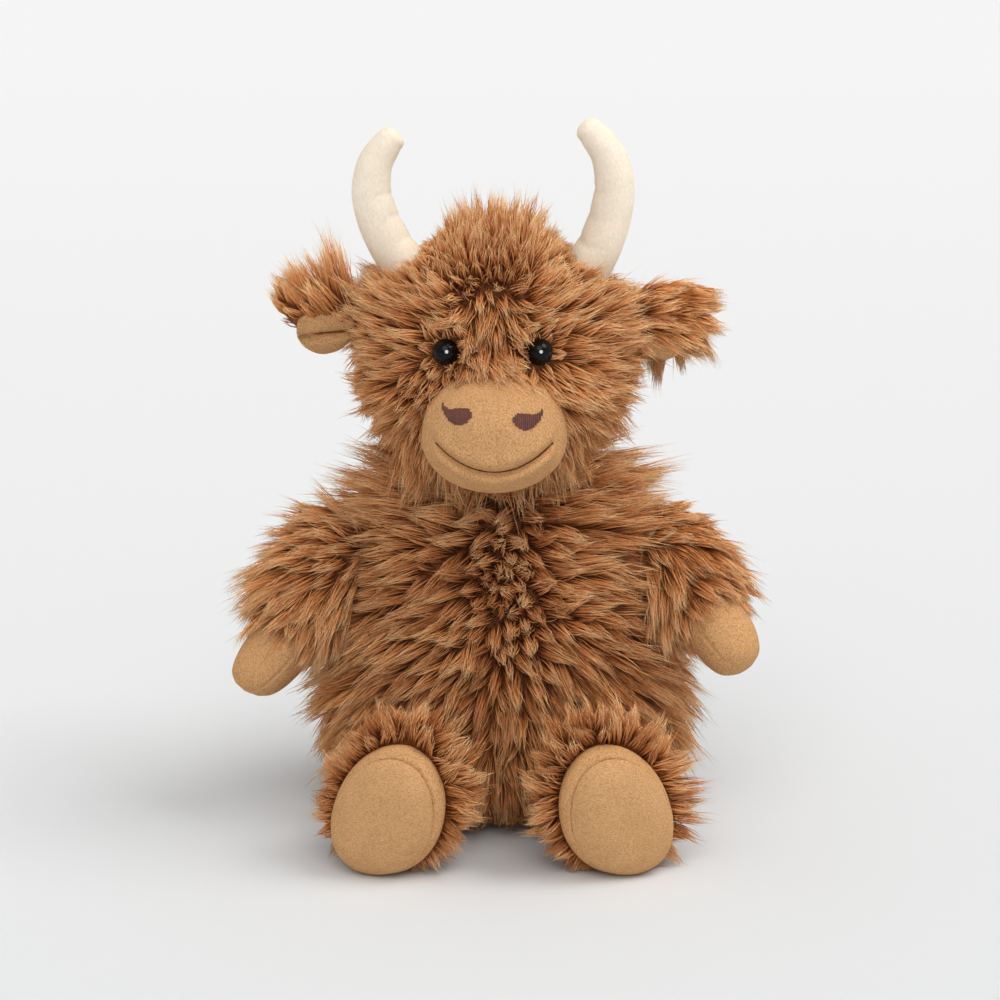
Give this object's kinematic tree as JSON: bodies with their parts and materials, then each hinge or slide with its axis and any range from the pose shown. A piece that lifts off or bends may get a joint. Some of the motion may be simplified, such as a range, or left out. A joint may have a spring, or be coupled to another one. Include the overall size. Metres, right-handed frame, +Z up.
{
  "type": "plush cow",
  "caption": "Seated long-haired soft toy cow with curved horns and a tan muzzle; its head, arms, legs, ears and tail move at their seams.",
  "frame": {"origin": "centre of the flat underside of the seat, on the floor", "axes": "+Z up; the face looks along -Y; +X towards the right of the picture"},
  "size_m": [0.2273, 0.1842, 0.309],
  "materials": {
    "long_pile": "long shaggy pile, dark at the root and light at the tip",
    "stuffing": "white fibre filling",
    "pouch": "plastic pellets in a thin pouch",
    "tan_plush": "short tan pile",
    "cream_plush": "short cream pile",
    "embroidery": "satin stitch",
    "eye_black": "polished black",
    "washer": "moulded"
  },
  "bodies": {
    "body": {"body_cover": "long_pile", "body_stuffing": "stuffing", "pellet_pouch": "pouch"},
    "head": {"head_cover": "long_pile", "head_stuffing": "stuffing", "muzzle_cover": "tan_plush", "muzzle_stuffing": "stuffing", "nostril_left": "embroidery", "nostril_right": "embroidery", "mouth_stitch": "embroidery", "eye_left": "eye_black", "eye_right": "eye_black", "eye_washer_left": "washer", "eye_washer_right": "washer", "horn_left": "cream_plush", "horn_right": "cream_plush"},
    "ear_l": {"ear_back_left": "long_pile", "ear_lining_left": "tan_plush"},
    "ear_r": {"ear_back_right": "long_pile", "ear_lining_right": "tan_plush"},
    "arm_l": {"arm_cover_left": "long_pile", "arm_stuffing_left": "stuffing", "hand_cover_left": "tan_plush"},
    "arm_r": {"arm_cover_right": "long_pile", "arm_stuffing_right": "stuffing", "hand_cover_right": "tan_plush"},
    "leg_l": {"leg_cover_left": "long_pile", "leg_stuffing_left": "stuffing", "foot_cover_left": "tan_plush", "sole_pad_left": "tan_plush"},
    "leg_r": {"leg_cover_right": "long_pile", "leg_stuffing_right": "stuffing", "foot_cover_right": "tan_plush", "sole_pad_right": "tan_plush"},
    "tail": {"tail_cord": "tan_plush", "tail_tuft": "long_pile"}
  },
  "joints": [
    {"name": "neck_nod", "type": "hinge", "parent": "body", "child": "head", "pos_m": [0, 0, 0.127], "axis": [1, 0, 0], "range_deg": [-12, 15], "stiffness_Nm_per_rad": 1.5},
    {"name": "ear_l_flap", "type": "hinge", "parent": "head", "child": "ear_l", "pos_m": [-0.06828, -0.008, 0.223], "axis": [0, 1, 0], "range_deg": [-25, 25], "stiffness_Nm_per_rad": 0.05},
    {"name": "ear_r_flap", "type": "hinge", "parent": "head", "child": "ear_r", "pos_m": [0.06028, -0.008, 0.223], "axis": [0, -1, 0], "range_deg": [-25, 25], "stiffness_Nm_per_rad": 0.05},
    {"name": "arm_l_swing", "type": "hinge", "parent": "body", "child": "arm_l", "pos_m": [-0.06843, 0.002, 0.126], "axis": [-1, 0, 0], "range_deg": [-35, 60], "stiffness_Nm_per_rad": 0.2},
    {"name": "arm_r_swing", "type": "hinge", "parent": "body", "child": "arm_r", "pos_m": [0.06843, 0.002, 0.126], "axis": [-1, 0, 0], "range_deg": [-35, 60], "stiffness_Nm_per_rad": 0.2},
    {"name": "leg_l_swing", "type": "hinge", "parent": "body", "child": "leg_l", "pos_m": [-0.03895, -0.05446, 0.03141], "axis": [-1, 0, 0], "range_deg": [-25, 25], "stiffness_Nm_per_rad": 0.3},
    {"name": "leg_r_swing", "type": "hinge", "parent": "body", "child": "leg_r", "pos_m": [0.03895, -0.05446, 0.03141], "axis": [-1, 0, 0], "range_deg": [-25, 25], "stiffness_Nm_per_rad": 0.3},
    {"name": "tail_lift", "type": "hinge", "parent": "body", "child": "tail", "pos_m": [0, 0.06085, 0.05018], "axis": [1, 0, 0], "range_deg": [0, 70], "stiffness_Nm_per_rad": 0.02}
  ]
}
